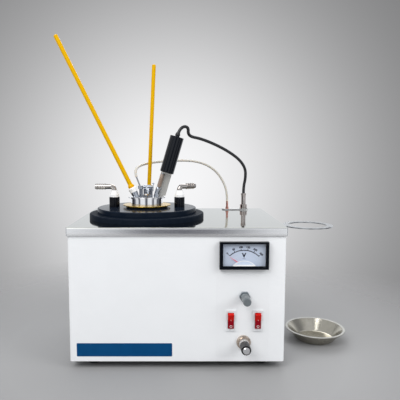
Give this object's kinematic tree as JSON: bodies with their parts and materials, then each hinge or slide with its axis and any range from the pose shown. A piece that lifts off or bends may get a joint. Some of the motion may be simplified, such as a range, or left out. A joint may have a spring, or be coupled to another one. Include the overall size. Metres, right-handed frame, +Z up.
{
  "type": "flash point tester",
  "caption": "Closed-cup flash point tester: cabinet with heated bath, lidded oil cup with test jet, shutter and stirrer, thermometers, voltmeter and front controls.",
  "frame": {"origin": "on the bench, under the middle of the cabinet", "axes": "+X to the user's right, +Y away from the user, +Z up"},
  "size_m": [0.484, 0.2898, 0.5066],
  "materials": {
    "white_paint": "semi-gloss powder coat",
    "mirror_steel": "mirror-polished stainless sheet",
    "black_enamel": "glossy black",
    "bare_steel": "plain",
    "heater_sheath": "dull",
    "ring_black": "matt moulded",
    "brass": "polished",
    "cup_chrome": "polished plating",
    "black_plastic": "satin",
    "white_plastic": "satin",
    "tube_steel": "polished stainless",
    "yellow_glass": "glossy, yellow-backed",
    "black_rubber": "matt",
    "cream_rubber": "satin silicone",
    "brown_rubber": "satin",
    "case_black": "smooth moulding",
    "dial_white": "matt print",
    "clear_glass": "clear",
    "pointer_red": "matt",
    "knob_grey": "satin",
    "nut_steel": "bright",
    "rocker_red": "glossy",
    "frame_white": "satin",
    "copper": "polished copper",
    "nickel": "satin nickel",
    "bracket_grey": "satin",
    "motor_black": "semi-gloss",
    "lid_steel": "polished",
    "board_green": "satin",
    "inlet_black": "moulded",
    "dish_steel": "satin stainless"
  },
  "bodies": {
    "cabinet": {"cabinet_wrap": "white_paint", "rear_panel": "white_paint", "base_tray": "bare_steel", "feet": "black_rubber", "foot_screws": "nut_steel", "top_deck": "mirror_steel", "lower_disc": "black_enamel", "upper_disc": "black_enamel", "bath_vessel": "bare_steel", "bath_heater": "heater_sheath", "air_chamber": "brass", "insulating_ring": "ring_black", "cup_flange": "brass", "sample_cup": "cup_chrome", "coolant_posts": "black_plastic", "post_collars": "white_plastic", "hose_barb_left": "tube_steel", "hose_barb_right": "tube_steel", "bath_thermometer": "yellow_glass", "thermometer_grommet": "black_rubber", "meter_case": "case_black", "meter_dial": "dial_white", "meter_lens": "clear_glass", "potentiometer": "nut_steel", "pot_nut": "nut_steel", "gas_valve": "brass", "gas_valve_ring": "nut_steel", "rocker_frames": "frame_white", "connector_socket": "nickel", "connector_plug": "nickel", "gas_fitting": "copper", "fitting_strap": "nut_steel", "cup_ring": "dish_steel", "ring_screws": "nut_steel", "dish": "dish_steel", "power_inlet": "inlet_black", "rear_gas_inlet": "brass", "control_board": "board_green", "motor_cable": "black_rubber", "gas_tube": "cream_rubber"},
    "lid": {"lid_plate": "lid_steel", "thermometer_socket": "lid_steel", "socket_collar": "white_plastic", "cup_thermometer": "yellow_glass", "slide_guides": "lid_steel", "jet_posts": "lid_steel", "gas_riser": "nut_steel", "motor_bracket": "bracket_grey", "motor_housing": "motor_black", "stirrer_bush": "lid_steel"},
    "shutter": {"shutter": "lid_steel"},
    "jet": {"test_jet": "lid_steel"},
    "stirrer": {"stirrer": "bare_steel", "flexible_coupling": "brown_rubber"},
    "voltage_knob": {"voltage_knob": "knob_grey"},
    "gas_knob": {"gas_knob": "black_plastic"},
    "stir_rocker": {"stir_rocker": "rocker_red"},
    "power_rocker": {"power_rocker": "rocker_red"},
    "pointer": {"meter_pointer": "pointer_red"}
  },
  "joints": [
    {"name": "lid_lift", "type": "slide", "parent": "cabinet", "child": "lid", "axis": [0, 0, 1], "range_m": [0, 0.08], "deforming": ["motor_cable", "gas_tube"]},
    {"name": "jet_rock", "type": "hinge", "parent": "lid", "child": "jet", "pos_m": [-0.05175, 0.006, 0.26], "axis": [1, 0, 0], "range_deg": [0, 55.3]},
    {"name": "shutter_slide", "type": "slide", "parent": "lid", "child": "shutter", "axis": [0, 1, 0], "range_m": [0, 0.011]},
    {"name": "stirrer_spin", "type": "hinge", "parent": "lid", "child": "stirrer", "pos_m": [-0.0365, 0.008, 0.2452], "axis": [0.284, 0, 0.9588], "continuous": true},
    {"name": "voltage_turn", "type": "hinge", "parent": "cabinet", "child": "voltage_knob", "pos_m": [0.0986, -0.1171, 0.1097], "axis": [0, 1, 0], "range_deg": [0, 300]},
    {"name": "gas_turn", "type": "hinge", "parent": "cabinet", "child": "gas_knob", "pos_m": [0.0979, -0.1171, 0.0407], "axis": [0, -1, 0], "range_deg": [0, 340]},
    {"name": "stir_rock", "type": "hinge", "parent": "cabinet", "child": "stir_rocker", "pos_m": [0.0788, -0.1171, 0.0736], "axis": [-1, 0, 0], "range_deg": [0, 18]},
    {"name": "power_rock", "type": "hinge", "parent": "cabinet", "child": "power_rocker", "pos_m": [0.1184, -0.1171, 0.0736], "axis": [-1, 0, 0], "range_deg": [0, 18]},
    {"name": "pointer_swing", "type": "hinge", "parent": "cabinet", "child": "pointer", "pos_m": [0.0968, -0.1201, 0.15455], "axis": [0, 1, 0], "range_deg": [0, 111.4]}
  ],
  "couplings": [
    {"joint": "shutter_slide", "follows": "jet_rock", "m_per_rad": 0.011396}
  ]
}
